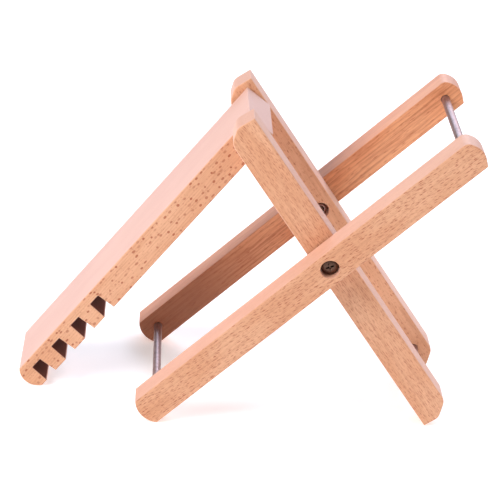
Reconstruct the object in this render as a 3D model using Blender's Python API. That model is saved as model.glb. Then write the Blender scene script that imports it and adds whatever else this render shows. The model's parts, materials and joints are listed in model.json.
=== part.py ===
"""Folding wooden footstool for a seated guitar player.

Two outer bars and two inner bars cross in a scissor at a recessed pivot screw on each side.
A notched foot plate is hinged between the upper ends of the inner bars. Its underside has four
notches that drop over a steel rod between the outer bars, and each notch sets another height.
Modelled open and standing on its bar ends, with the plate swung out clear of its rod.

Metres, +Z up. X runs along the floor, Y runs through the pivots from side to side.
The origin is on the floor, below the middle of the whole object.
"""
import math

import bmesh
import bpy
from mathutils import Vector

# Wooden bars. Lengths along a bar are counted from the pivot.
BAR_WIDTH = 0.0230
BAR_THICK = 0.0190
OUTER_FOOT_REACH = 0.1690      # outer bar, pivot to the square line of its notch-rod end
OUTER_FOOT_BULGE = 0.0044      # how far that rounded end stands past the line
OUTER_HEAD_REACH = 0.1273      # outer bar, pivot to the two corners of its other end
OUTER_HEAD_NOSE = 0.1334       # where the slanted sides of that end would meet
OUTER_NOSE_RADIUS = 0.0140
OUTER_UPPER_RADIUS = 0.0060
INNER_FOOT_REACH = 0.1553      # inner bar, pivot to its square foot end
INNER_FOOT_CUT = (0.0103, 0.0110)      # that end's upper corner is cut off, along and across the bar
INNER_HEAD_REACH = 0.1144      # inner bar, pivot to its square end at the hinge
INNER_HEAD_CUT = (0.0080, 0.0094)      # that end's lower corner is cut off too
INNER_CUT_RADII = (0.0080, 0.0100)     # roundings of a cut, at the end face and at the long edge
EDGE_EASE = 0.0008             # worn-round long edges of every wooden piece

# Foot plate. Lengths along the plate are counted from its hinge pin.
PLATE_THICK = 0.0210
PLATE_BACK_REACH = 0.0096
PLATE_TIP_REACH = 0.2457
PLATE_TIP_BULGE = 0.0053
NOTCH_COUNT = 4
NOTCH_FIRST = 0.1630           # hinge pin to the near wall of the first notch
NOTCH_PITCH = 0.0223
NOTCH_WIDTH = 0.0087           # at the bottom of the notch
NOTCH_FLARE = 0.0015           # how much wider the mouth is, on the side towards the tip
NOTCH_DEPTH = 0.0144

# Layout across the width, counted from the middle plane.
PLATE_HALF = 0.0280
PLATE_SIDE_GAP = 0.0008
PIVOT_WASHER_SPACE = 0.0012    # between an inner and an outer bar
INNER_FACE = PLATE_HALF + PLATE_SIDE_GAP
INNER_BACK = INNER_FACE + BAR_THICK
OUTER_FACE = INNER_BACK + PIVOT_WASHER_SPACE
OUTER_BACK = OUTER_FACE + BAR_THICK

# Steel rods in blind holes
ROD_RADIUS = 0.0030
ROD_HOLE_DEPTH = 0.0130
NOTCH_ROD_REACH = 0.1600       # pivot to the rod that the notches drop over
OUTER_FOOT_ROD_REACH = 0.1191
HINGE_REACH = 0.0977           # pivot to the plate's hinge pin

# Pivot hardware
SCREW_RADIUS = 0.0025
SCREW_HEAD_RADIUS = 0.0055
SCREW_HEAD_EDGE = 0.0011       # straight rim below the dome
SCREW_HEAD_HEIGHT = 0.0024
SCREW_TIP_PAST_NUT = 0.0007
SCREW_TIP_CHAMFER = 0.0008
CROSS_LENGTH = 0.0058
CROSS_WIDTH = 0.0012
CROSS_DEPTH = 0.0015
HEAD_RECESS_RADIUS = 0.0068
HEAD_RECESS_DEPTH = 0.0075
HEAD_WASHER_RADIUS = 0.0063
HEAD_WASHER_THICK = 0.0008
SPACER_WASHER_RADIUS = 0.0085
NUT_RECESS_RADIUS = 0.0062
NUT_RECESS_DEPTH = 0.0092
NUT_FLATS = 0.0080             # across the flats of the hexagon
NUT_HEX_HEIGHT = 0.0034
NUT_COLLAR_RADIUS = 0.0039
NUT_COLLAR_HEIGHT = 0.0014
NUT_COLLAR_SHOULDER = 0.0006
NUT_WASHER_RADIUS = 0.0050
NUT_WASHER_THICK = 0.0010

# Pose
FRAME_SPREAD = math.radians(98.8)      # from an inner bar's foot end up to an outer bar's head end
PLATE_SWING = math.radians(72.65)      # from lying between the inner bars to resting on its tip

# Modelling
GAP = 0.0003                   # clearance where one piece touches another
OVERCUT = 0.0010               # how far a cutter stands past the face that it opens
HOLE_RADIUS = ROD_RADIUS + GAP
ARC_STEPS = 12
ROUND_STEPS = 32
DOME_STEPS = 6
HEXAGON_STEPS = 6
SMOOTH_ANGLE = math.radians(30)

WOOD_COLOUR = (0.72, 0.42, 0.25, 1.0)
STEEL_COLOUR = (0.55, 0.54, 0.56, 1.0)
BRONZE_COLOUR = (0.07, 0.05, 0.04, 1.0)

SIDES = {"front": -1.0, "rear": 1.0}


def clear_scene():
    """Start from an empty scene."""
    for thing in list(bpy.data.objects):
        bpy.data.objects.remove(thing, do_unlink=True)


def make_material(name, colour, roughness, metallic):
    """A plain Principled material."""
    material = bpy.data.materials.new(name)
    material.use_nodes = True
    shader = material.node_tree.nodes["Principled BSDF"]
    shader.inputs["Base Color"].default_value = colour
    shader.inputs["Roughness"].default_value = roughness
    shader.inputs["Metallic"].default_value = metallic
    material.diffuse_color = colour
    return material


def make_empty(name, parent, location, turn):
    """An empty on a joint axis; turn is counter-clockwise as seen from the front."""
    empty = bpy.data.objects.new(name, None)
    bpy.context.scene.collection.objects.link(empty)
    empty.parent = parent
    empty.location = location
    empty.rotation_euler = (0.0, -turn, 0.0)
    return empty


def make_object(name, mesh_builder, parent, material):
    """Turn a bmesh into a named object, shaded smooth except at its real edges."""
    bmesh.ops.recalc_face_normals(mesh_builder, faces=mesh_builder.faces)
    mesh = bpy.data.meshes.new(name)
    mesh_builder.to_mesh(mesh)
    mesh_builder.free()
    mesh.shade_smooth()
    mesh.set_sharp_from_angle(angle=SMOOTH_ANGLE)
    piece = bpy.data.objects.new(name, mesh)
    bpy.context.scene.collection.objects.link(piece)
    piece.parent = parent
    if material:
        mesh.materials.append(material)
    return piece


def arc(start, end, bulge):
    """Points after start and up to end, on an arc that stands bulge to the right of the way."""
    start = Vector(start)
    end = Vector(end)
    chord = end - start
    radius = (chord.length_squared / 4 + bulge * bulge) / (2 * bulge)
    outward = Vector((chord.y, -chord.x)).normalized()
    centre = (start + end) / 2 + outward * (bulge - radius)
    half_angle = math.asin(chord.length / 2 / radius)
    along = chord.normalized()
    points = []
    for step in range(1, ARC_STEPS + 1):
        angle = half_angle * (2 * step / ARC_STEPS - 1)
        points.append(centre + (along * math.sin(angle) + outward * math.cos(angle)) * radius)
    return points


def rounded_outline(corners):
    """Points of an anticlockwise outline from (along, across, radius) corners; radius 0 stays sharp."""
    outline = []
    for index, (along, across, radius) in enumerate(corners):
        corner = Vector((along, across))
        if radius == 0:
            outline.append(corner)
            continue
        back = (Vector(corners[index - 1][:2]) - corner).normalized()
        onward = (Vector(corners[(index + 1) % len(corners)][:2]) - corner).normalized()
        half_angle = back.angle(onward) / 2
        centre = corner + (back + onward).normalized() * radius / math.sin(half_angle)
        spoke = corner + back * radius / math.tan(half_angle) - centre
        for step in range(ARC_STEPS + 1):
            turn = (math.pi - 2 * half_angle) * step / ARC_STEPS
            outline.append(centre + turned_point(spoke.x, spoke.y, turn))
    return outline


def outer_bar_outline():
    """Outer bar: its foot end is one shallow round, its head end a blunt nose with a soft upper corner."""
    half = BAR_WIDTH / 2
    outline = rounded_outline([
        (-OUTER_FOOT_REACH, -half, 0),
        (OUTER_HEAD_REACH, -half, 0),
        (OUTER_HEAD_NOSE, 0, OUTER_NOSE_RADIUS),
        (OUTER_HEAD_REACH, half, OUTER_UPPER_RADIUS),
        (-OUTER_FOOT_REACH, half, 0),
    ])
    outline += arc((-OUTER_FOOT_REACH, half), (-OUTER_FOOT_REACH, -half), OUTER_FOOT_BULGE)[:-1]
    return outline


def inner_bar_outline():
    """Inner bar: each end keeps one sharp corner and has the other one cut off and rounded."""
    half = BAR_WIDTH / 2
    foot, head = INNER_FOOT_REACH, INNER_HEAD_REACH
    end_radius, edge_radius = INNER_CUT_RADII
    return rounded_outline([
        (foot, -half, 0),
        (foot, half - INNER_FOOT_CUT[1], end_radius),
        (foot - INNER_FOOT_CUT[0], half, edge_radius),
        (-head, half, 0),
        (-head, INNER_HEAD_CUT[1] - half, end_radius),
        (INNER_HEAD_CUT[0] - head, -half, edge_radius),
    ])


def plate_outline():
    """Foot plate: square back, rounded tip, notches open towards +Z."""
    half = PLATE_THICK / 2
    tip_low = (PLATE_TIP_REACH, -half)
    tip_high = (PLATE_TIP_REACH, half)
    points = [Vector((-PLATE_BACK_REACH, -half)), Vector(tip_low)]
    points += arc(tip_low, tip_high, PLATE_TIP_BULGE)
    for index in reversed(range(NOTCH_COUNT)):
        near = NOTCH_FIRST + index * NOTCH_PITCH
        far = near + NOTCH_WIDTH
        points.append(Vector((far + NOTCH_FLARE, half)))
        points.append(Vector((far, half - NOTCH_DEPTH)))
        points.append(Vector((near, half - NOTCH_DEPTH)))
        points.append(Vector((near, half)))
    points.append(Vector((-PLATE_BACK_REACH, half)))
    return points


def make_board(name, outline, low, high, parent, material):
    """Extrude an XZ outline from Y low to Y high and ease the edges of its two side faces."""
    builder = bmesh.new()
    corners = [builder.verts.new((point.x, low, point.y)) for point in outline]
    side = builder.faces.new(corners)
    grown = bmesh.ops.extrude_face_region(builder, geom=[side])
    moved = [item for item in grown["geom"] if isinstance(item, bmesh.types.BMVert)]
    bmesh.ops.translate(builder, verts=moved, vec=(0.0, high - low, 0.0))
    rims = [
        edge
        for edge in builder.edges
        if abs(edge.verts[0].co.y - edge.verts[1].co.y) < EDGE_EASE / 2
    ]
    bmesh.ops.bevel(
        builder, geom=rims, offset=EDGE_EASE, segments=2, profile=0.5, affect="EDGES", clamp_overlap=True
    )
    return make_object(name, builder, parent, material)


def make_turned(name, profile, parent, material, centre=(0.0, 0.0), steps=ROUND_STEPS):
    """Turn a profile of (Y, radius) points about a line along Y; an end of radius 0 is a point."""
    builder = bmesh.new()
    rings = []
    for place, radius in profile:
        if radius == 0:
            rings.append([builder.verts.new((centre[0], place, centre[1]))])
            continue
        ring = []
        for step in range(steps):
            angle = 2 * math.pi * step / steps
            x = centre[0] + radius * math.cos(angle)
            z = centre[1] + radius * math.sin(angle)
            ring.append(builder.verts.new((x, place, z)))
        rings.append(ring)
    for first, second in zip(rings, rings[1:]):
        for step in range(steps):
            after = (step + 1) % steps
            loop = [first[step % len(first)], first[after % len(first)]]
            loop += [second[after % len(second)], second[step % len(second)]]
            corners = list(dict.fromkeys(loop))
            builder.faces.new(corners)
    for ring in (rings[0], rings[-1]):
        if len(ring) > 1:
            builder.faces.new(ring)
    return make_object(name, builder, parent, material)


def drill(piece, radius, low, high, centre=(0.0, 0.0)):
    """Cut a round hole along Y through or into a piece."""
    profile = [(low, radius), (high, radius)]
    cutter = make_turned("hole_cutter", profile, piece.parent, None, centre)
    cutter.display_type = "WIRE"
    cutter.hide_render = True
    cut = piece.modifiers.new("hole", "BOOLEAN")
    cut.operation = "DIFFERENCE"
    cut.solver = "EXACT"
    cut.object = cutter


def make_ring(name, inner, outer, low, high, parent, material):
    """A flat washer about the pivot line."""
    washer = make_turned(name, [(low, outer), (high, outer)], parent, material)
    drill(washer, inner, low - OVERCUT, high + OVERCUT)
    return washer


def make_rod(name, reach, half_length, parent, material):
    """A straight round rod across the width, at a distance along its frame."""
    profile = [(-half_length, ROD_RADIUS), (half_length, ROD_RADIUS)]
    return make_turned(name, profile, parent, material, (reach, 0.0))


def drill_blind(bar, side, face, reach):
    """The blind hole that holds a rod's end, open in the bar's inward face."""
    drill(bar, HOLE_RADIUS, *ordered(side, face - OVERCUT, face + ROD_HOLE_DEPTH), (reach, 0.0))


def ordered(side, near, far):
    """Two distances from the middle plane, as Y values with the lower one first."""
    return tuple(sorted((side * near, side * far)))


def make_outer_bar(label, side, frame, wood):
    """One outer bar: recess and hole for the pivot screw, blind holes for two rods."""
    low, high = ordered(side, OUTER_FACE, OUTER_BACK)
    bar = make_board("outer_bar_" + label, outer_bar_outline(), low, high, frame, wood)
    recess_floor = OUTER_BACK - HEAD_RECESS_DEPTH
    drill(bar, HEAD_RECESS_RADIUS, *ordered(side, recess_floor, OUTER_BACK + OVERCUT))
    drill(bar, SCREW_RADIUS + GAP, *ordered(side, OUTER_FACE - OVERCUT, recess_floor + OVERCUT))
    drill_blind(bar, side, OUTER_FACE, -NOTCH_ROD_REACH)
    drill_blind(bar, side, OUTER_FACE, OUTER_FOOT_ROD_REACH)


def make_inner_bar(label, side, frame, wood):
    """One inner bar: hole and nut recess at the pivot, blind holes for hinge pin and foot rod."""
    low, high = ordered(side, INNER_FACE, INNER_BACK)
    bar = make_board("inner_bar_" + label, inner_bar_outline(), low, high, frame, wood)
    recess_floor = INNER_FACE + NUT_RECESS_DEPTH
    drill(bar, NUT_RECESS_RADIUS, *ordered(side, INNER_FACE - OVERCUT, recess_floor))
    drill(bar, SCREW_RADIUS + GAP, *ordered(side, recess_floor - OVERCUT, INNER_BACK + OVERCUT))
    drill_blind(bar, side, INNER_FACE, -HINGE_REACH)
    drill_blind(bar, side, INNER_FACE, inner_foot_rod_reach())


def inner_foot_rod_reach():
    """The inner foot rod drops into the last notch when the plate lies between the bars."""
    last_notch = NOTCH_FIRST + (NOTCH_COUNT - 1) * NOTCH_PITCH + NOTCH_WIDTH / 2
    return last_notch - HINGE_REACH


def make_foot_plate(hinge, wood):
    """The notched plate, with its bore for the hinge pin."""
    plate = make_board("foot_plate", plate_outline(), -PLATE_HALF, PLATE_HALF, hinge, wood)
    drill(plate, HOLE_RADIUS, -PLATE_HALF - OVERCUT, PLATE_HALF + OVERCUT)


def cut_cross(screw, face, side):
    """Sink a cross recess into a screw head; half of each cutter stands outside it."""
    middle = side * face
    cutter_depth = 2 * CROSS_DEPTH
    for index, size in enumerate(((CROSS_LENGTH, CROSS_WIDTH), (CROSS_WIDTH, CROSS_LENGTH))):
        builder = bmesh.new()
        bmesh.ops.create_cube(builder, size=1.0)
        bmesh.ops.scale(builder, vec=(size[0], cutter_depth, size[1]), verts=builder.verts)
        bmesh.ops.translate(builder, vec=(0.0, middle, 0.0), verts=builder.verts)
        cutter = make_object(f"cross_cutter_{index}", builder, screw.parent, None)
        cutter.display_type = "WIRE"
        cutter.hide_render = True
        cut = screw.modifiers.new("cross", "BOOLEAN")
        cut.operation = "DIFFERENCE"
        cut.solver = "EXACT"
        cut.object = cutter


def make_pivot(label, side, frame, steel, bronze):
    """Screw, washers and lock nut on one side, each a separate piece."""
    recess_floor = OUTER_BACK - HEAD_RECESS_DEPTH
    washer_low = recess_floor + GAP
    washer_high = washer_low + HEAD_WASHER_THICK
    bore = SCREW_RADIUS + GAP
    make_ring("head_washer_" + label, bore, HEAD_WASHER_RADIUS,
              *ordered(side, washer_low, washer_high), frame, bronze)
    make_ring("spacer_washer_" + label, bore, SPACER_WASHER_RADIUS,
              *ordered(side, INNER_BACK + GAP, OUTER_FACE - GAP), frame, steel)

    nut_floor = INNER_FACE + NUT_RECESS_DEPTH
    nut_washer_low = nut_floor - GAP - NUT_WASHER_THICK
    make_ring("nut_washer_" + label, bore, NUT_WASHER_RADIUS,
              *ordered(side, nut_washer_low, nut_floor - GAP), frame, steel)
    nut_base = nut_washer_low - GAP
    nut_top = make_lock_nut(label, side, nut_base, frame, steel)

    head_base = washer_high + GAP
    head_rim = head_base + SCREW_HEAD_EDGE
    dome = SCREW_HEAD_HEIGHT - SCREW_HEAD_EDGE
    tip = nut_top - SCREW_TIP_PAST_NUT
    profile = [(side * tip, 0.0), (side * tip, SCREW_RADIUS - SCREW_TIP_CHAMFER)]
    profile += [(side * (tip + SCREW_TIP_CHAMFER), SCREW_RADIUS), (side * head_base, SCREW_RADIUS)]
    profile.append((side * head_base, SCREW_HEAD_RADIUS))
    for step in range(DOME_STEPS + 1):
        angle = math.pi / 2 * step / DOME_STEPS
        radius = SCREW_HEAD_RADIUS * math.cos(angle) if step < DOME_STEPS else 0.0
        profile.append((side * (head_rim + dome * math.sin(angle)), radius))
    screw = make_turned("pivot_screw_" + label, profile, frame, bronze)
    cut_cross(screw, head_base + SCREW_HEAD_HEIGHT, side)


def make_lock_nut(label, side, base, frame, steel):
    """A hexagon with a round collar towards the middle; gives back where its top is."""
    collar_start = base - NUT_HEX_HEIGHT
    top = collar_start - NUT_COLLAR_HEIGHT
    corner_radius = NUT_FLATS / 2 / math.cos(math.pi / HEXAGON_STEPS)
    hexagon = [(side * base, corner_radius), (side * collar_start, corner_radius)]
    nut = make_turned("lock_nut_" + label, hexagon, frame, steel, steps=HEXAGON_STEPS)
    collar = [(side * (base - OVERCUT), NUT_COLLAR_RADIUS)]
    collar.append((side * (top + NUT_COLLAR_SHOULDER), NUT_COLLAR_RADIUS))
    collar.append((side * top, NUT_COLLAR_RADIUS - NUT_COLLAR_SHOULDER))
    adder = make_turned("collar_adder", collar, frame, None)
    adder.display_type = "WIRE"
    adder.hide_render = True
    join = nut.modifiers.new("collar", "BOOLEAN")
    join.operation = "UNION"
    join.solver = "EXACT"
    join.object = adder
    drill(nut, SCREW_RADIUS + GAP, *ordered(side, top - OVERCUT, base + OVERCUT))
    return top


def turned_point(along, across, angle):
    """A frame's own (along, across) point after turning by angle, as seen from the front."""
    x = along * math.cos(angle) - across * math.sin(angle)
    z = along * math.sin(angle) + across * math.cos(angle)
    return Vector((x, z))


def standing_pose():
    """The outer frame's angle and the pivot's height with both pairs of feet on the floor."""
    half = BAR_WIDTH / 2
    outer_foot = Vector((-OUTER_FOOT_REACH, -half))
    inner_foot = turned_point(INNER_FOOT_REACH, -half, -FRAME_SPREAD)
    floor_line = inner_foot - outer_foot
    angle = -math.atan2(floor_line.y, floor_line.x)
    height = -turned_point(outer_foot.x, outer_foot.y, angle).y
    return angle, height


def width_centre(angle):
    """The X of the middle of the whole object, counted from the pivot."""
    inner_angle = angle - FRAME_SPREAD
    plate_angle = inner_angle - PLATE_SWING
    hinge = turned_point(-HINGE_REACH, 0.0, inner_angle)
    plate_xs = [(hinge + turned_point(p.x, p.y, plate_angle)).x for p in plate_outline()]
    outer_xs = [turned_point(p.x, p.y, angle).x for p in outer_bar_outline()]
    inner_xs = [turned_point(p.x, p.y, inner_angle).x for p in inner_bar_outline()]
    every_x = plate_xs + outer_xs + inner_xs
    return (min(every_x) + max(every_x)) / 2


def build():
    """The whole footstool."""
    clear_scene()
    wood = make_material("beech_wood", WOOD_COLOUR, 0.45, 0.0)
    steel = make_material("plated_steel", STEEL_COLOUR, 0.3, 1.0)
    bronze = make_material("dark_bronze", BRONZE_COLOUR, 0.35, 1.0)

    angle, height = standing_pose()
    outer_frame = make_empty("outer_frame_pivot", None, (-width_centre(angle), 0.0, height), angle)
    inner_frame = make_empty("inner_frame_pivot", outer_frame, (0.0, 0.0, 0.0), -FRAME_SPREAD)
    hinge = make_empty("plate_hinge_axis", inner_frame, (-HINGE_REACH, 0.0, 0.0), -PLATE_SWING)

    for label, side in SIDES.items():
        make_outer_bar(label, side, outer_frame, wood)
        make_inner_bar(label, side, inner_frame, wood)
        make_pivot(label, side, outer_frame, steel, bronze)
    outer_rod_half = OUTER_FACE + ROD_HOLE_DEPTH - GAP
    inner_rod_half = INNER_FACE + ROD_HOLE_DEPTH - GAP
    make_rod("notch_rod", -NOTCH_ROD_REACH, outer_rod_half, outer_frame, steel)
    make_rod("outer_foot_rod", OUTER_FOOT_ROD_REACH, outer_rod_half, outer_frame, steel)
    make_rod("inner_foot_rod", inner_foot_rod_reach(), inner_rod_half, inner_frame, steel)
    make_rod("plate_hinge_pin", 0.0, inner_rod_half, hinge, steel)
    make_foot_plate(hinge, wood)


build()
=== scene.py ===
import json
import math

import bmesh
import bpy
from mathutils import Matrix, Vector


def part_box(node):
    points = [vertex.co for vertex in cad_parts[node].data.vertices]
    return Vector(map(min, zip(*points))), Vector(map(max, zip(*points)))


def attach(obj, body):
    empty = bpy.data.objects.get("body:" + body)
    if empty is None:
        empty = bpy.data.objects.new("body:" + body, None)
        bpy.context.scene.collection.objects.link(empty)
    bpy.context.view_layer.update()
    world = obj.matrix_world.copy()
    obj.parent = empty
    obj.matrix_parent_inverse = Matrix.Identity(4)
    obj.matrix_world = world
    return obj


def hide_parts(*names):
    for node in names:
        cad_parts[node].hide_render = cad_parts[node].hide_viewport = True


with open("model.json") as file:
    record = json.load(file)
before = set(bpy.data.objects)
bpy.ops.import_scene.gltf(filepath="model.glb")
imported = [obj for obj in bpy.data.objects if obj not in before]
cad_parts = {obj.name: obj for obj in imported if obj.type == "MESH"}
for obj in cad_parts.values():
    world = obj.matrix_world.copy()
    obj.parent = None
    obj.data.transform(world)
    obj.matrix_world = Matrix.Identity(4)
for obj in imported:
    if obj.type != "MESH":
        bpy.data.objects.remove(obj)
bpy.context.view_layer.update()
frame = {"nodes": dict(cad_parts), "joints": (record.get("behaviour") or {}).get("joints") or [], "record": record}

BODIES = frame["record"]["behaviour"]["bodies"]
BODY_OF = {node: body for body, nodes in BODIES.items() for node in nodes}
JOINTS = {joint["name"]: joint for joint in frame["joints"]}
PIVOT = Vector(JOINTS["scissor_pivot"]["pos_m"])
HINGE = Vector(JOINTS["plate_swing"]["pos_m"])
SIDES = {"front": -1.0, "rear": 1.0}

# Camera: it looks down at the front from a little to the left, slightly rolled.
CAMERA_AZIMUTH = math.radians(-4.45)
CAMERA_ELEVATION = math.radians(25.56)
CAMERA_ROLL = math.radians(6.16)
CAMERA_TARGET = PIVOT + Vector((-0.0506, 0.0, -0.0222))
CAMERA_DISTANCE = 1.2821
SENSOR_WIDTH = 36.0
FOCAL_LENGTH = 128.52

# Wooden boards
WELD = 0.00001                 # corners closer than this are one
FLAT_ANGLE = math.radians(0.5)
SHARP_ANGLE = math.radians(38)
RIM_EASE = 0.0003              # sanded rims of holes and notches

# Hardware
ROUND_STEPS = 64
DOME_STEPS = 10
ROD_END_ROUNDING = 0.25        # as a share of the rod's radius
CHAMFER_SHARE = 0.6            # of the nut's corners
CRIMP_SHARE = 0.6              # of the nut's collar
SCREW_RADIUS = 0.0025
THREAD_PITCH = 0.0008
THREAD_DEPTH = 0.0004
THREAD_LENGTH = 0.0120
HEAD_EDGE = 0.0011             # straight rim of the screw's head below its dome
HEAD_HEIGHT = 0.0024
HEAD_SOFTENING = 0.0003
CROSS_LENGTH = 0.0062
CROSS_WIDTH = 0.0013
CROSS_DEPTH = 0.0017
CROSS_TURN = math.radians(25)
CROSS_TAPER = 0.45             # the cross's length at its bottom, as a share of its mouth
NUT_HEX_HEIGHT = 0.0034
NUT_COLLAR_RADIUS = 0.0039
NUT_COLLAR_HEIGHT = 0.0014
BORE_CLEARANCE = 0.0003
WASHER_ROUNDING = 0.0002
OVERCUT = 0.0010


def srgb(red, green, blue):
    """A linear colour from its 0-255 display values."""
    def linear(value):
        value = value / 255
        if value <= 0.04045:
            return value / 12.92
        return ((value + 0.055) / 1.055) ** 2.4
    return (linear(red), linear(green), linear(blue), 1.0)


def scaled(colour, factor):
    """A colour made lighter or darker."""
    return tuple(channel * factor for channel in colour[:3]) + (1.0,)


# ---------------------------------------------------------------- shader nodes

class Nodes:
    """A short way to add and link shader nodes."""

    def __init__(self, name):
        self.material = bpy.data.materials.new(name)
        self.material.use_nodes = True
        self.tree = self.material.node_tree
        self.shader = self.tree.nodes["Principled BSDF"]

    def add(self, kind, **settings):
        node = self.tree.nodes.new(kind)
        for key, value in settings.items():
            setattr(node, key, value)
        return node

    def plug(self, value, socket):
        if isinstance(value, bpy.types.NodeSocket):
            self.tree.links.new(value, socket)
        elif value is not None:
            socket.default_value = value

    def math(self, operation, first, second=None):
        node = self.add("ShaderNodeMath", operation=operation)
        self.plug(first, node.inputs[0])
        self.plug(second, node.inputs[1])
        return node.outputs[0]

    def times(self, *values):
        product = values[0]
        for value in values[1:]:
            product = self.math("MULTIPLY", product, value)
        return product

    def plus(self, *values):
        total = values[0]
        for value in values[1:]:
            total = self.math("ADD", total, value)
        return total

    def vector_math(self, operation, first, second):
        node = self.add("ShaderNodeVectorMath", operation=operation)
        self.plug(first, node.inputs[0])
        self.plug(second, node.inputs[1])
        return node.outputs["Vector"]

    def split(self, vector):
        node = self.add("ShaderNodeSeparateXYZ")
        self.plug(vector, node.inputs[0])
        return tuple(node.outputs)

    def join(self, x, y, z=0.0):
        node = self.add("ShaderNodeCombineXYZ")
        for value, socket in zip((x, y, z), node.inputs):
            self.plug(value, socket)
        return node.outputs[0]

    def length(self, *parts):
        """The length of the vector with these parts."""
        squares = [self.math("MULTIPLY", part, part) for part in parts]
        return self.math("SQRT", self.plus(*squares))

    def ramp(self, value, low, high, to_low=0.0, to_high=1.0):
        node = self.add("ShaderNodeMapRange", interpolation_type="SMOOTHSTEP")
        self.plug(value, node.inputs["Value"])
        self.plug(low, node.inputs["From Min"])
        self.plug(high, node.inputs["From Max"])
        self.plug(to_low, node.inputs["To Min"])
        self.plug(to_high, node.inputs["To Max"])
        return node.outputs["Result"]

    def mix(self, factor, first, second, blend="MIX"):
        node = self.add("ShaderNodeMix", data_type="RGBA", blend_type=blend)
        self.plug(factor, node.inputs["Factor"])
        self.plug(first, node.inputs[6])
        self.plug(second, node.inputs[7])
        return node.outputs[2]

    def blend_values(self, factor, first, second):
        node = self.add("ShaderNodeMix", data_type="FLOAT")
        self.plug(factor, node.inputs[0])
        self.plug(first, node.inputs[2])
        self.plug(second, node.inputs[3])
        return node.outputs[0]

    def placed(self, vector, scale=(1.0, 1.0, 1.0), offset=(0.0, 0.0, 0.0), turn=(0.0, 0.0, 0.0)):
        """The vector scaled, then turned, then moved."""
        node = self.add("ShaderNodeMapping")
        self.plug(vector, node.inputs["Vector"])
        node.inputs["Location"].default_value = offset
        node.inputs["Rotation"].default_value = turn
        node.inputs["Scale"].default_value = scale
        return node.outputs["Vector"]

    def noise(self, vector, period, detail=2.0, roughness=0.5):
        """Noise whose lumps are about this long in metres along X, Y and Z."""
        node = self.add("ShaderNodeTexNoise")
        self.plug(self.placed(vector, tuple(1 / length for length in period)), node.inputs["Vector"])
        node.inputs["Scale"].default_value = 1.0
        node.inputs["Detail"].default_value = detail
        node.inputs["Roughness"].default_value = roughness
        return node.outputs["Fac"]

    def bump(self, height, strength, distance):
        node = self.add("ShaderNodeBump")
        node.inputs["Strength"].default_value = strength
        node.inputs["Distance"].default_value = distance
        self.plug(height, node.inputs["Height"])
        return node.outputs["Normal"]


# ---------------------------------------------------------------- wood

BEECH_LIGHT = srgb(226, 170, 134)
BEECH_MIDDLE = srgb(218, 157, 119)
BEECH_DARK = srgb(182, 117, 80)
FLECK_COLOUR = srgb(160, 72, 32)
# Painted highlight: the pale pink laid on the upper and lower faces.
PAINTED_HIGHLIGHT_COLOUR = srgb(226, 181, 173)
# Painted shade inside the notches: its colour and how strongly it is laid on.
NOTCH_SHADE_COLOUR = srgb(96, 38, 20)
CUT_MARGIN = 0.0010            # the painted shade inside the notches shows at least this far below a board's long faces
CUT_BLUR = 0.0020
NOTCH_SHADE_STRENGTH = 0.95
CUT_SHINE = 0.08
WOOD_SHINE = 0.5
WOOD_ROUGHNESS = 0.50
VEIL_ROUGHNESS = 0.45
GRAIN_BUMP = (0.4, 0.00012)    # strength and distance
END_GRAIN_STRENGTH = 0.55
WORN_STRENGTH = 0.35
SMALL_FLECK_SHARE = 0.55       # small flecks and their cells, as shares of the large ones
SMALL_CELL_SHARE = 0.6
FOOT_SHADE_REACH = (-0.02, -0.13)    # where the painted shade towards the foot end begins and is full
SWAY = 0.004                   # how far the flecks' rows wander

# Lump sizes of the wood's noises, along the grain, across the object and across the face.
WANDER_SIZE = (0.10, 0.02, 0.02)
RING_PATCH_SIZE = (0.05, 0.006, 0.006)
FIBRE_SIZE = (0.009, 0.0007, 0.0007)
FINE_FIBRE_SIZE = (0.004, 0.00025, 0.00025)
STREAK_SIZE = (0.06, 0.0022, 0.0022)
BLOTCH_SIZE = (0.06, 0.02, 0.02)
SWAY_SIZE = (0.03, 0.01, 0.01)
PORE_SIZE = (0.0009, 0.0004, 0.0004)


def scattered_marks(nodes, along, across, size, step, chance, pointed):
    """Long marks, at most one to a cell, pointed or oval: 0 around them and up to 1 inside."""
    cells = nodes.add("ShaderNodeTexVoronoi", feature="F1", voronoi_dimensions="2D")
    place = nodes.join(nodes.math("DIVIDE", along, step[0]), nodes.math("DIVIDE", across, step[1]))
    nodes.plug(place, cells.inputs["Vector"])
    cells.inputs["Scale"].default_value = 1.0
    offset = nodes.vector_math("SUBTRACT", place, cells.outputs["Position"])
    offset_along, offset_across, _ = nodes.split(offset)
    chance_value, size_value, tone_value = nodes.split(cells.outputs["Color"])
    grown = nodes.plus(nodes.times(size_value, 0.7), 0.6)
    reach_along = nodes.math("DIVIDE", nodes.times(offset_along, 2 * step[0] / size[0]), grown)
    reach_across = nodes.times(offset_across, 2 * step[1] / size[1])
    if pointed:
        distance = nodes.plus(nodes.math("ABSOLUTE", reach_along), nodes.math("ABSOLUTE", reach_across))
    else:
        distance = nodes.length(reach_along, reach_across)
    inside = nodes.ramp(distance, 0.7, 1.0, 1.0, 0.0)
    present = nodes.math("LESS_THAN", chance_value, chance)
    return nodes.times(inside, present, nodes.plus(nodes.times(tone_value, 0.6), 0.4))


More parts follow.
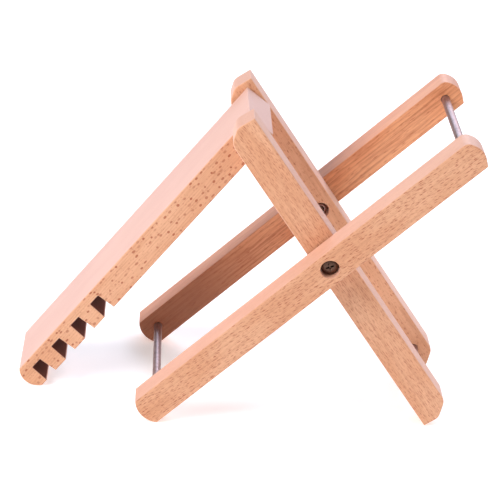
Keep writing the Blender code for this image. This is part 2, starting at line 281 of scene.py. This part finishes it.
def beech(name, angle, origin, span, seed, look):
    """Beech with its grain along the board: growth rings, fine fibres and dark ray flecks.

    Board axes: X along the grain, Y across the object (deep), Z across the face.
    span is the board's lowest and highest Z."""
    nodes = Nodes(name)
    coordinates = nodes.add("ShaderNodeTexCoord")
    centred = nodes.placed(coordinates.outputs["Object"], offset=tuple(-origin))
    turned = nodes.placed(centred, turn=(0.0, angle, 0.0))
    along, deep, across = nodes.split(turned)
    facing = nodes.split(nodes.placed(coordinates.outputs["Normal"], turn=(0.0, angle, 0.0)))
    end_facing, side_facing, top_facing = (nodes.math("ABSOLUTE", part) for part in facing)
    on_side = nodes.math("GREATER_THAN", side_facing, nodes.math("MAXIMUM", top_facing, end_facing))
    on_end = nodes.ramp(end_facing, 0.55, 0.9)
    grain_share = nodes.blend_values(on_side, look["top_grain"], 1.0)
    space = nodes.placed(turned, offset=(seed * 0.37, seed * 0.53, seed * 0.71))

    # Growth rings, as rounds about a heart that lies outside the board.
    heart_deep, heart_across = look["heart"]
    wander = nodes.times(nodes.plus(nodes.noise(space, WANDER_SIZE, 3.0), -0.5), look["ring_wander"])
    ring_radius = nodes.length(nodes.plus(deep, -heart_deep), nodes.plus(across, -heart_across))
    ring_count = nodes.math("DIVIDE", nodes.plus(ring_radius, wander), look["ring_width"])
    ring_phase = nodes.math("FRACT", ring_count)
    ring_rise = nodes.ramp(ring_phase, 0.35, 0.92)
    ring_fall = nodes.ramp(ring_phase, 0.93, 1.0, 1.0, 0.0)
    late_wood = nodes.times(ring_rise, ring_fall)
    ring_strength = nodes.noise(space, RING_PATCH_SIZE, 2.0)
    patchy = nodes.ramp(ring_strength, 0.3, 0.65)
    late_wood = nodes.times(late_wood, patchy, look["ring_strength"], grain_share)

    fibres = nodes.noise(space, FIBRE_SIZE, 3.0, 0.6)
    fine_fibres = nodes.noise(space, FINE_FIBRE_SIZE, 2.0, 0.6)
    streaks = nodes.noise(space, STREAK_SIZE, 3.0, 0.6)
    blotches = nodes.noise(space, BLOTCH_SIZE, 2.0)

    colour = nodes.mix(nodes.ramp(blotches, 0.35, 0.65), look["light"], look["middle"])
    streaked = nodes.times(nodes.ramp(streaks, 0.45, 0.72), look["streak_strength"], grain_share)
    fibrous = nodes.times(nodes.ramp(fibres, 0.42, 0.75), look["fibre_strength"], grain_share)
    colour = nodes.mix(streaked, colour, look["dark"])
    colour = nodes.mix(late_wood, colour, look["dark"])
    colour = nodes.mix(fibrous, colour, look["dark"])
    colour = nodes.mix(nodes.times(nodes.ramp(fine_fibres, 0.5, 0.8), 0.12), colour, look["light"])

    # Ray flecks: on the sides they follow a slightly slanted grain, on top and below they are weaker.
    slant = math.tan(look["grain_slant"])
    sway = nodes.times(nodes.noise(space, SWAY_SIZE), SWAY)
    side_place = nodes.plus(across, nodes.times(along, -slant), sway, seed * 0.1)
    top_place = nodes.plus(deep, sway, seed * 0.2)
    crosswise = nodes.blend_values(on_side, top_place, side_place)
    chance = look["fleck_chance"]
    pointed = look["pointed_flecks"]
    large_size = look["fleck_size"]
    large_step = look["fleck_step"]
    large = scattered_marks(nodes, along, crosswise, large_size, large_step, chance, pointed)
    small_size = tuple(length * SMALL_FLECK_SHARE for length in large_size)
    small_step = tuple(length * SMALL_CELL_SHARE for length in large_step)
    shifted = nodes.plus(along, 0.37)
    small = scattered_marks(nodes, shifted, crosswise, small_size, small_step, chance, pointed)
    flecks = nodes.math("MAXIMUM", large, nodes.times(small, look["small_flecks"]))
    face_strength = nodes.blend_values(on_side, look["top_flecks"], 1.0)
    flecks = nodes.times(flecks, face_strength, nodes.plus(1.0, nodes.times(on_end, -1.0)))
    colour = nodes.mix(nodes.times(flecks, look["fleck_strength"]), colour, FLECK_COLOUR)

    # End grain: darker, with fine pores.
    pores = nodes.noise(space, PORE_SIZE, 2.0, 0.7)
    end_colour = nodes.mix(nodes.ramp(pores, 0.45, 0.7), look["middle"], look["dark"])
    colour = nodes.mix(nodes.times(on_end, END_GRAIN_STRENGTH), colour, end_colour)

    # Painted highlight: the upper and lower faces are mixed towards a pale pink, which stands in for the lights'
    # reflection seen at a grazing angle.
    painted_highlight = nodes.times(nodes.plus(1.0, nodes.times(on_side, -1.0)), look["painted_highlight"])
    colour = nodes.mix(painted_highlight, colour, PAINTED_HIGHLIGHT_COLOUR)

    veil = look["veil"]
    # Painted shade inside the notches: their inner faces are darkened, and lose the veil and most of their shine.
    if look["shaded_notches"]:
        first, last = look["shaded_notches"]
        past_first = nodes.ramp(along, first - CUT_BLUR, first)
        before_last = nodes.ramp(along, last, last + CUT_BLUR, 1.0, 0.0)
        notched = nodes.times(past_first, before_last)
        lowest, highest = span
        above_base = nodes.math("GREATER_THAN", across, lowest + CUT_MARGIN)
        below_top = nodes.math("LESS_THAN", across, highest - CUT_MARGIN)
        not_side = nodes.ramp(side_facing, 0.3, 0.6, 1.0, 0.0)
        shaded_notch = nodes.times(notched, above_base, below_top, not_side)
        colour = nodes.mix(nodes.times(shaded_notch, NOTCH_SHADE_STRENGTH), colour, NOTCH_SHADE_COLOUR)
        veil = nodes.blend_values(shaded_notch, veil, 0.0)
        shine = nodes.blend_values(shaded_notch, WOOD_SHINE, CUT_SHINE)
        nodes.plug(shine, nodes.shader.inputs["Specular IOR Level"])

    # Painted shade: the side faces are darkened towards the foot end.
    foot = nodes.ramp(along, *FOOT_SHADE_REACH)
    colour = nodes.mix(nodes.times(foot, on_side, look["painted_foot_shade"]), colour, scaled(look["dark"], 0.55))

    # Worn edges: where the surface faces neither way squarely, it is rubbed paler and smoother.
    squareness = nodes.math("MAXIMUM", nodes.math("MAXIMUM", end_facing, side_facing), top_facing)
    worn = nodes.times(nodes.ramp(squareness, 0.97, 0.80), nodes.ramp(blotches, 0.3, 0.6, 0.4, 1.0))
    colour = nodes.mix(nodes.times(worn, WORN_STRENGTH), colour, scaled(look["light"], 1.08))

    nodes.plug(colour, nodes.shader.inputs["Base Color"])
    rough = nodes.plus(nodes.times(fibres, 0.18), nodes.times(worn, -0.06), WOOD_ROUGHNESS)
    nodes.plug(rough, nodes.shader.inputs["Roughness"])
    ridges = nodes.plus(nodes.times(fibres, 0.5), nodes.times(fine_fibres, 0.3))
    height = nodes.plus(ridges, nodes.times(flecks, -0.8))
    nodes.plug(nodes.bump(height, *GRAIN_BUMP), nodes.shader.inputs["Normal"])
    nodes.plug(veil, nodes.shader.inputs["Sheen Weight"])
    nodes.shader.inputs["Sheen Roughness"].default_value = VEIL_ROUGHNESS
    nodes.shader.inputs["Sheen Tint"].default_value = look["veil_tint"]
    return nodes.material


BAR_LOOK = {
    "light": BEECH_LIGHT,
    "middle": BEECH_MIDDLE,
    "dark": BEECH_DARK,
    "heart": (-0.120, 0.030),
    "ring_width": 0.0019,
    "ring_wander": 0.004,
    "ring_strength": 0.25,
    "streak_strength": 0.28,
    "fibre_strength": 0.34,
    "top_grain": 0.5,
    "painted_highlight": 0.25,
    "grain_slant": math.radians(-6),
    "fleck_size": (0.0048, 0.0008),
    "fleck_step": (0.0056, 0.0014),
    "fleck_chance": 0.66,
    "fleck_strength": 0.88,
    "pointed_flecks": True,
    "small_flecks": 0.6,
    "top_flecks": 0.2,
    "veil": 0.30,
    "veil_tint": (0.92, 0.88, 1.0, 1.0),
    "painted_foot_shade": 0.0,
    "shaded_notches": None,
}
INNER_LOOK = dict(
    BAR_LOOK,
    heart=(-0.100, -0.020),
    grain_slant=math.radians(4),
    fleck_size=(0.0052, 0.0008),
    fleck_step=(0.0052, 0.0012),
    fleck_strength=0.6,
)
REAR_OUTER_LOOK = dict(
    BAR_LOOK,
    light=srgb(232, 166, 122),
    middle=srgb(222, 148, 103),
    dark=srgb(168, 92, 54),
    heart=(0.020, -0.140),
    ring_width=0.0034,
    ring_wander=0.012,
    ring_strength=0.50,
    streak_strength=0.60,
    grain_slant=math.radians(-1),
    fleck_size=(0.0065, 0.0010),
    fleck_step=(0.0100, 0.0028),
    fleck_chance=0.6,
    fleck_strength=0.6,
    veil=0.14,
    painted_foot_shade=0.8,
)
REAR_INNER_LOOK = dict(
    INNER_LOOK,
    streak_strength=0.3,
    fleck_size=(0.0034, 0.0012),
    fleck_chance=0.3,
)
PLATE_LOOK = dict(
    BAR_LOOK,
    heart=(0.0, -0.060),
    ring_width=0.0017,
    ring_wander=0.003,
    ring_strength=0.35,
    streak_strength=0.1,
    top_grain=0.25,
    painted_highlight=0.55,
    grain_slant=0.0,
    fleck_size=(0.0029, 0.0018),
    fleck_step=(0.0058, 0.0038),
    fleck_chance=0.66,
    fleck_strength=0.9,
    pointed_flecks=False,
    small_flecks=0.35,
    top_flecks=0.0,
    veil=0.36,
    veil_tint=(0.86, 0.90, 1.0, 1.0),
    shaded_notches=(-0.245, -0.150),
)


def stand_for(piece, node_name):
    """Let a finished piece take the place of a CAD node."""
    bpy.context.scene.collection.objects.link(piece)
    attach(piece, BODY_OF[node_name])
    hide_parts(node_name)


def longest_way(form):
    """The direction of a board's longest edge, upwards."""
    edge = max(form.edges, key=lambda edge: edge.calc_length())
    way = edge.verts[1].co - edge.verts[0].co
    return way if way.z > 0 else -way


def finished_board(node_name, origin, seed, look):
    """A board of the node's own shape, with sanded rims, rounded edges and smooth shading."""
    form = bmesh.new()
    form.from_mesh(frame["nodes"][node_name].data)
    bmesh.ops.remove_doubles(form, verts=form.verts, dist=WELD)
    bmesh.ops.dissolve_limit(form, angle_limit=FLAT_ANGLE, verts=form.verts, edges=form.edges)
    way = longest_way(form)
    angle = math.atan2(way.z, way.x)
    across = Vector((-math.sin(angle), 0.0, math.cos(angle)))
    reaches = [(vertex.co - origin).dot(across) for vertex in form.verts]
    rims = [edge for edge in form.edges if edge.calc_face_angle(0.0) > SHARP_ANGLE]
    bmesh.ops.bevel(form, geom=rims, offset=RIM_EASE, offset_type="OFFSET", segments=2, profile=0.5,
                    affect="EDGES", clamp_overlap=True)
    mesh = bpy.data.meshes.new("finished_" + node_name)
    form.to_mesh(mesh)
    form.free()
    mesh.shade_smooth()
    mesh.set_sharp_from_angle(angle=SHARP_ANGLE)
    span = (min(reaches), max(reaches))
    mesh.materials.append(beech("beech_" + node_name, angle, origin, span, seed, look))
    board = bpy.data.objects.new("finished_" + node_name, mesh)
    faces = board.modifiers.new("flat_faces", "WEIGHTED_NORMAL")
    faces.keep_sharp = True
    faces.weight = 100
    stand_for(board, node_name)


def make_boards():
    finished_board("outer_bar_front", PIVOT, 1.0, BAR_LOOK)
    finished_board("outer_bar_rear", PIVOT, 2.0, REAR_OUTER_LOOK)
    finished_board("inner_bar_front", PIVOT, 3.0, INNER_LOOK)
    finished_board("inner_bar_rear", PIVOT, 4.0, REAR_INNER_LOOK)
    finished_board("foot_plate", HINGE, 5.0, PLATE_LOOK)


# ---------------------------------------------------------------- metal

STEEL = srgb(184, 157, 153)
BRONZE = srgb(102, 78, 67)
CLOUD_SIZE = 0.003
GRIT_SIZE = 0.0004
LINE_ROUGHNESS = 0.25          # how much the fine lines vary the roughness
LINE_MIDDLE = 0.12
LINE_BUMP = (0.2, 0.00004)     # strength and distance


def metal(name, colour, roughness, line_period, wear):
    """Plated steel with fine lines, cloudy plating and rubbed spots."""
    nodes = Nodes(name)
    space = nodes.add("ShaderNodeTexCoord").outputs["Object"]
    clouds = nodes.noise(space, (CLOUD_SIZE,) * 3, 3.0, 0.6)
    grit = nodes.noise(space, (GRIT_SIZE,) * 3, 2.0)
    lines = nodes.noise(space, line_period, 2.0)
    tint = nodes.mix(nodes.ramp(clouds, 0.4, 0.75), colour, scaled(colour, 0.7))
    tint = nodes.mix(nodes.times(nodes.ramp(grit, 0.58, 0.72), wear), tint, scaled(colour, 1.6))
    nodes.plug(tint, nodes.shader.inputs["Base Color"])
    nodes.shader.inputs["Metallic"].default_value = 1.0
    rough = nodes.plus(nodes.times(lines, LINE_ROUGHNESS), roughness - LINE_MIDDLE)
    nodes.plug(rough, nodes.shader.inputs["Roughness"])
    nodes.plug(nodes.bump(lines, *LINE_BUMP), nodes.shader.inputs["Normal"])
    return nodes.material


def turned_mesh(name, profile, centre, steps=ROUND_STEPS, closed=False):
    """A solid of revolution about the Y axis through centre, from a profile of (y, radius) points."""
    form = bmesh.new()
    rings = []
    for y, radius in profile:
        ring = []
        for step in range(steps):
            angle = math.tau * step / steps
            ring.append(form.verts.new((centre.x + radius * math.cos(angle), y,
                                        centre.z + radius * math.sin(angle))))
        rings.append(ring)
    pairs = list(zip(rings, rings[1:]))
    if closed:
        pairs.append((rings[-1], rings[0]))
    for ring, following in pairs:
        for step in range(steps):
            after = (step + 1) % steps
            form.faces.new((ring[step], ring[after], following[after], following[step]))
    if not closed:
        form.faces.new(rings[0])
        form.faces.new(rings[-1])
    bmesh.ops.recalc_face_normals(form, faces=form.faces)
    mesh = bpy.data.meshes.new(name)
    form.to_mesh(mesh)
    form.free()
    return mesh


def smooth(mesh, material):
    mesh.shade_smooth()
    mesh.set_sharp_from_angle(angle=SHARP_ANGLE)
    mesh.materials.clear()
    mesh.materials.append(material)


def rounded_corner(y, radius, y_way, radius_way, amount, steps=4):
    """A quarter round in place of a profile's corner at (y, radius).

    It runs from the wall's side to the end face's side."""
    points = []
    for step in range(steps + 1):
        angle = math.pi / 2 * step / steps
        along = y_way * amount * (1 - math.sin(angle))
        outwards = radius_way * amount * (1 - math.cos(angle))
        points.append((y + along, radius + outwards))
    return points


def cut(mesh, cutter_mesh, operation):
    """The mesh after a Boolean with the cutter."""
    body = bpy.data.objects.new("boolean_body", mesh)
    cutter = bpy.data.objects.new("boolean_cutter", cutter_mesh)
    bpy.context.scene.collection.objects.link(body)
    bpy.context.scene.collection.objects.link(cutter)
    modifier = body.modifiers.new("boolean", "BOOLEAN")
    modifier.operation = operation
    modifier.solver = "EXACT"
    modifier.object = cutter
    evaluated = body.evaluated_get(bpy.context.evaluated_depsgraph_get())
    result = bpy.data.meshes.new_from_object(evaluated)
    bpy.data.objects.remove(body)
    bpy.data.objects.remove(cutter)
    return result


def finished_ring(node_name, bore, material):
    """A washer with rounded rims, in the place of the node."""
    low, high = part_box(node_name)
    centre = (low + high) / 2
    outer = (high.x - low.x) / 2
    soft = WASHER_ROUNDING
    profile = rounded_corner(low.y, bore, 1, 1, soft)
    profile += rounded_corner(low.y, outer, 1, -1, soft)[::-1]
    profile += rounded_corner(high.y, outer, -1, -1, soft)
    profile += rounded_corner(high.y, bore, -1, 1, soft)[::-1]
    mesh = turned_mesh("finished_" + node_name, profile, centre, closed=True)
    smooth(mesh, material)
    stand_for(bpy.data.objects.new("finished_" + node_name, mesh), node_name)


def finished_rod(node_name, material):
    """A drawn steel rod with rounded ends, in the place of the node."""
    low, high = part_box(node_name)
    radius = (high.x - low.x) / 2
    soft = radius * ROD_END_ROUNDING
    profile = rounded_corner(low.y, radius, 1, -1, soft)[::-1]
    profile += rounded_corner(high.y, radius, -1, -1, soft)
    mesh = turned_mesh("finished_" + node_name, profile, (low + high) / 2)
    smooth(mesh, material)
    stand_for(bpy.data.objects.new("finished_" + node_name, mesh), node_name)


def cross_wedge(centre, face, side, turn):
    """One bar of a cross recess, as a cutter that narrows with depth below the face."""
    form = bmesh.new()
    rings = []
    for depth, share in ((-OVERCUT, 1.0), (0.0, 1.0), (CROSS_DEPTH, CROSS_TAPER)):
        half_length = CROSS_LENGTH / 2 * share
        half_width = CROSS_WIDTH / 2 * (share + 1) / 2
        ring = []
        for long_way, short_way in ((-1, -1), (1, -1), (1, 1), (-1, 1)):
            x = long_way * half_length
            z = short_way * half_width
            turned_x = x * math.cos(turn) - z * math.sin(turn)
            turned_z = x * math.sin(turn) + z * math.cos(turn)
            ring.append(form.verts.new((centre.x + turned_x, face - side * depth, centre.z + turned_z)))
        rings.append(ring)
    form.faces.new(rings[0])
    form.faces.new(rings[-1])
    for ring, following in zip(rings, rings[1:]):
        for step in range(4):
            after = (step + 1) % 4
            form.faces.new((ring[step], ring[after], following[after], following[step]))
    bmesh.ops.recalc_face_normals(form, faces=form.faces)
    mesh = bpy.data.meshes.new("cross_wedge")
    form.to_mesh(mesh)
    form.free()
    return mesh


def finished_screw(label, side, material):
    """A pan-head screw with a cross recess and a threaded end, in the place of the node."""
    node_name = "pivot_screw_" + label
    low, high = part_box(node_name)
    centre = (low + high) / 2
    head_radius = (high.x - low.x) / 2
    face = high.y if side > 0 else low.y
    tip = low.y if side > 0 else high.y
    head_base = face - side * HEAD_HEIGHT
    rim = head_base + side * HEAD_EDGE
    dome = HEAD_HEIGHT - HEAD_EDGE

    profile = [(tip, SCREW_RADIUS - 2 * THREAD_DEPTH)]
    turns = int(THREAD_LENGTH / THREAD_PITCH)
    for turn in range(turns):
        start = tip + side * THREAD_PITCH * (turn + 0.5)
        profile.append((start, SCREW_RADIUS - THREAD_DEPTH))
        profile.append((start + side * THREAD_PITCH * 0.5, SCREW_RADIUS))
    profile.append((tip + side * (THREAD_LENGTH + THREAD_PITCH), SCREW_RADIUS))
    profile.append((head_base, SCREW_RADIUS))
    profile += rounded_corner(head_base, head_radius, side, -1, HEAD_SOFTENING)[::-1]
    for step in range(DOME_STEPS):
        angle = math.pi / 2 * step / DOME_STEPS
        profile.append((rim + side * dome * math.sin(angle), head_radius * math.cos(angle)))
    mesh = turned_mesh("finished_" + node_name, profile, centre)
    for turn in (CROSS_TURN, CROSS_TURN + math.pi / 2):
        mesh = cut(mesh, cross_wedge(centre, face, side, turn), "DIFFERENCE")
    smooth(mesh, material)
    stand_for(bpy.data.objects.new("finished_" + node_name, mesh), node_name)


def finished_nut(label, side, material):
    """A lock nut: a chamfered hexagon with a crimped collar, in the place of the node."""
    node_name = "lock_nut_" + label
    low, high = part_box(node_name)
    centre = (low + high) / 2
    base = high.y if side > 0 else low.y
    corner_radius = (high.x - low.x) / 2
    flat_radius = corner_radius * math.cos(math.pi / 6)
    collar_start = base - side * NUT_HEX_HEIGHT
    top = collar_start - side * NUT_COLLAR_HEIGHT
    prism = [(base, corner_radius), (collar_start, corner_radius)]
    hexagon = turned_mesh("hexagon", prism, centre, steps=6)
    bevel = (corner_radius - flat_radius) * CHAMFER_SHARE
    lathe = [(base, flat_radius), (base - side * bevel, corner_radius * 1.01)]
    lathe += [(collar_start + side * bevel, corner_radius * 1.01), (collar_start, flat_radius)]
    mesh = cut(hexagon, turned_mesh("chamfer", lathe, centre), "INTERSECT")
    crimp = NUT_COLLAR_HEIGHT * CRIMP_SHARE
    collar = [(base - side * OVERCUT, NUT_COLLAR_RADIUS)]
    collar += rounded_corner(top, NUT_COLLAR_RADIUS, side, -1, crimp)
    mesh = cut(mesh, turned_mesh("collar", collar, centre), "UNION")
    bore = SCREW_RADIUS + BORE_CLEARANCE
    hole = turned_mesh("bore", [(top - side * OVERCUT, bore), (base + side * OVERCUT, bore)], centre)
    mesh = cut(mesh, hole, "DIFFERENCE")
    smooth(mesh, material)
    stand_for(bpy.data.objects.new("finished_" + node_name, mesh), node_name)


def make_hardware():
    rod_steel = metal("drawn_steel", STEEL, 0.52, (0.0002, 0.02, 0.0002), 0.25)
    nut_steel = metal("zinc_steel", scaled(STEEL, 0.9), 0.32, (0.001, 0.001, 0.001), 0.4)
    bronze = metal("dark_bronze", BRONZE, 0.36, (0.0008, 0.0008, 0.0008), 0.5)
    bore = SCREW_RADIUS + BORE_CLEARANCE
    for rod in ("notch_rod", "outer_foot_rod", "inner_foot_rod", "plate_hinge_pin"):
        finished_rod(rod, rod_steel)
    for label, side in SIDES.items():
        finished_ring("head_washer_" + label, bore, bronze)
        finished_ring("spacer_washer_" + label, bore, nut_steel)
        finished_ring("nut_washer_" + label, bore, nut_steel)
        finished_screw(label, side, bronze)
        finished_nut(label, side, nut_steel)


# ---------------------------------------------------------------- camera and studio

def make_camera():
    camera_data = bpy.data.cameras.new("camera")
    camera = bpy.data.objects.new("camera", camera_data)
    bpy.context.scene.collection.objects.link(camera)
    turn = Matrix.Rotation(CAMERA_AZIMUTH, 4, "Z")
    turn = turn @ Matrix.Rotation(math.pi / 2 - CAMERA_ELEVATION, 4, "X")
    turn = turn @ Matrix.Rotation(CAMERA_ROLL, 4, "Z")
    back = turn.to_3x3() @ Vector((0.0, 0.0, 1.0))
    camera.matrix_world = Matrix.Translation(CAMERA_TARGET + back * CAMERA_DISTANCE) @ turn
    camera_data.sensor_width = SENSOR_WIDTH
    camera_data.lens = FOCAL_LENGTH
    camera_data.clip_start = 0.01
    bpy.context.scene.camera = camera


LIGHT_TARGET = Vector((0.0, 0.0, 0.1))
LIGHT_DISTANCE = 1.7
LIGHT_SIZE = 0.9
WORLD_STRENGTH = 0.2
FLOOR_GLOW = 0.30
FLOOR_SIZE = 12.0
# Each softbox: its azimuth counted from the front towards the right, its elevation, watts and colour.
SOFTBOXES = (
    ("key_softbox", -60, 35, 28.5, (1.0, 1.0, 1.0)),
    ("right_softbox", 60, 35, 6.8, (1.0, 1.0, 1.0)),
    ("right_low_softbox", 90, 12, 7.0, (1.0, 1.0, 1.0)),
    ("back_right_softbox", 150, 35, 9.5, (0.96, 0.97, 1.14)),
    ("back_softbox", 180, 30, 9.5, (0.74, 0.97, 1.28)),
)


def make_light(name, location, target, size, power, colour):
    data = bpy.data.lights.new(name, "AREA")
    data.shape = "SQUARE"
    data.size = size
    data.energy = power
    data.color = colour
    lamp = bpy.data.objects.new(name, data)
    bpy.context.scene.collection.objects.link(lamp)
    lamp.location = location
    lamp.rotation_euler = (Vector(target) - Vector(location)).to_track_quat("-Z", "Y").to_euler()


def make_world():
    """A dim white room, which the camera sees as plain white."""
    world = bpy.data.worlds.new("studio")
    bpy.context.scene.world = world
    world.use_nodes = True
    tree = world.node_tree
    backdrop = tree.nodes["Background"]
    backdrop.inputs["Color"].default_value = (1.0, 1.0, 1.0, 1.0)
    seen = tree.nodes.new("ShaderNodeLightPath").outputs["Is Camera Ray"]
    strength = tree.nodes.new("ShaderNodeMapRange")
    strength.inputs["To Min"].default_value = WORLD_STRENGTH
    strength.inputs["To Max"].default_value = 1.0
    tree.links.new(seen, strength.inputs["Value"])
    tree.links.new(strength.outputs["Result"], backdrop.inputs["Strength"])


def make_stage():
    bpy.ops.mesh.primitive_plane_add(size=FLOOR_SIZE, location=(0.0, 0.0, 0.0))
    floor = bpy.context.object
    floor.name = "studio_floor"
    nodes = Nodes("studio_white")
    space = nodes.add("ShaderNodeTexCoord").outputs["Object"]
    tone = nodes.ramp(nodes.noise(space, (0.3, 0.3, 0.3)), 0.3, 0.7, 0.9, 0.91)
    nodes.plug(nodes.join(tone, tone, tone), nodes.shader.inputs["Base Color"])
    nodes.shader.inputs["Roughness"].default_value = 0.8
    nodes.shader.inputs["Emission Color"].default_value = (1.0, 1.0, 1.0, 1.0)
    nodes.shader.inputs["Emission Strength"].default_value = FLOOR_GLOW
    floor.data.materials.append(nodes.material)

    make_world()
    for name, azimuth, elevation, power, colour in SOFTBOXES:
        way = Matrix.Rotation(math.radians(azimuth), 3, "Z")
        way = way @ Matrix.Rotation(math.radians(-elevation), 3, "X")
        location = LIGHT_TARGET + way @ Vector((0.0, -LIGHT_DISTANCE, 0.0))
        make_light(name, location, LIGHT_TARGET, LIGHT_SIZE, power, colour)
    bpy.context.scene.view_settings.view_transform = "Standard"


make_camera()
make_boards()
make_hardware()
make_stage()
